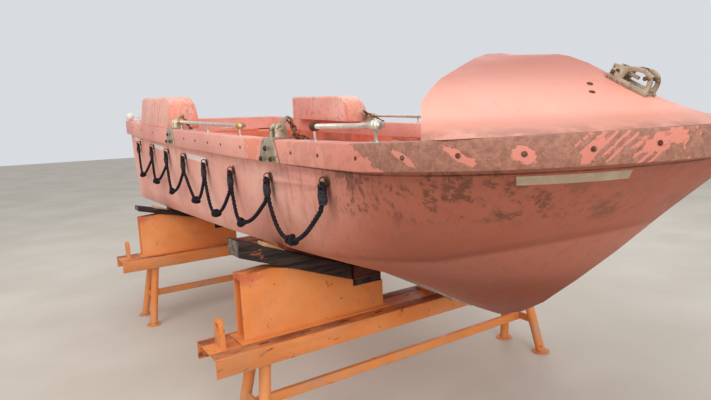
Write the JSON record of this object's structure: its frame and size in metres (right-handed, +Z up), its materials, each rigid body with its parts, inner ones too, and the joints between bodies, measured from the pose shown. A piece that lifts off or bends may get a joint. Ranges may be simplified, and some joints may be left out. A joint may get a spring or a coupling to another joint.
{
  "type": "open rescue boat with bow hood, on two steel trestles",
  "caption": "Open rescue boat with a raised bow hood, side lockers, grab lines and lifting brackets, standing on steel trestles with timber bolsters.",
  "frame": {"origin": "middle of the boat's length and breadth, on the floor under the trestle feet", "axes": "+X to the bow, +Y to port, +Z up"},
  "size_m": [5.53, 2.552, 2.022],
  "materials": {
    "hull_orange": "sun-faded orange gelcoat with brown dirt along the gunwale",
    "hood_orange": "chalky faded pink-orange gelcoat",
    "liner_orange": "stronger orange gelcoat, less faded",
    "keel_grey": "light grey keel band",
    "trestle_paint": "orange paint with rust and scratches",
    "timber_dark": "dark weathered timber",
    "pad_rubber": "black rubber over dark red timber",
    "fitting_steel": "dull galvanised steel with rust",
    "rope_dark": "black laid rope",
    "light_white": "white plastic"
  },
  "bodies": {
    "boat_on_trestles": {"hull": "hull_orange", "gunwale_band": "hull_orange", "bow_hood": "hood_orange", "keel_strip": "keel_grey", "stern_deck": "liner_orange", "thwart_forward": "liner_orange", "thwart_aft": "liner_orange", "painter_release_base": "fitting_steel", "painter_release_lever": "fitting_steel", "stern_light": "light_white", "quarter_box_port": "hull_orange", "side_bench_port": "liner_orange", "lifting_bracket_forward_port": "fitting_steel", "grab_rail_forward_port": "fitting_steel", "lifting_bracket_aft_port": "fitting_steel", "grab_rail_aft_port": "fitting_steel", "grab_line_port": "rope_dark", "quarter_box_starboard": "hull_orange", "side_bench_starboard": "liner_orange", "lifting_bracket_forward_starboard": "fitting_steel", "grab_rail_forward_starboard": "fitting_steel", "lifting_bracket_aft_starboard": "fitting_steel", "grab_rail_aft_starboard": "fitting_steel", "grab_line_starboard": "rope_dark", "trestle_beam_forward": "trestle_paint", "tie_bar_forward": "trestle_paint", "pedestal_forward_port": "trestle_paint", "leg_frame_forward_port": "trestle_paint", "bolster_forward_port": "timber_dark", "packing_forward_port": "timber_dark", "inner_pad_forward_port": "pad_rubber", "pedestal_forward_starboard": "trestle_paint", "leg_frame_forward_starboard": "trestle_paint", "bolster_forward_starboard": "timber_dark", "packing_forward_starboard": "timber_dark", "inner_pad_forward_starboard": "pad_rubber", "trestle_beam_aft": "trestle_paint", "tie_bar_aft": "trestle_paint", "pedestal_aft_port": "trestle_paint", "leg_frame_aft_port": "trestle_paint", "bolster_aft_port": "timber_dark", "packing_aft_port": "timber_dark", "inner_pad_aft_port": "pad_rubber", "pedestal_aft_starboard": "trestle_paint", "leg_frame_aft_starboard": "trestle_paint", "bolster_aft_starboard": "timber_dark", "packing_aft_starboard": "timber_dark", "inner_pad_aft_starboard": "pad_rubber"},
    "stern_lid": {"stern_locker_lid": "liner_orange"},
    "port_bench_lid": {"bench_lid_port": "liner_orange"},
    "starboard_bench_lid": {"bench_lid_starboard": "liner_orange"}
  },
  "joints": [
    {"name": "stern_lid_hinge", "type": "hinge", "parent": "boat_on_trestles", "child": "stern_lid", "pos_m": [-2.56, 0, 1.7071], "axis": [0, -1, 0], "range_deg": [0, 100]},
    {"name": "port_bench_lid_hinge", "type": "hinge", "parent": "boat_on_trestles", "child": "port_bench_lid", "pos_m": [0.155, 0.771, 1.5254], "axis": [-0.9996, 0, 0.03], "range_deg": [0, 95]},
    {"name": "starboard_bench_lid_hinge", "type": "hinge", "parent": "boat_on_trestles", "child": "starboard_bench_lid", "pos_m": [0.155, -0.771, 1.5254], "axis": [0.9996, 0, -0.03], "range_deg": [0, 95]}
  ]
}
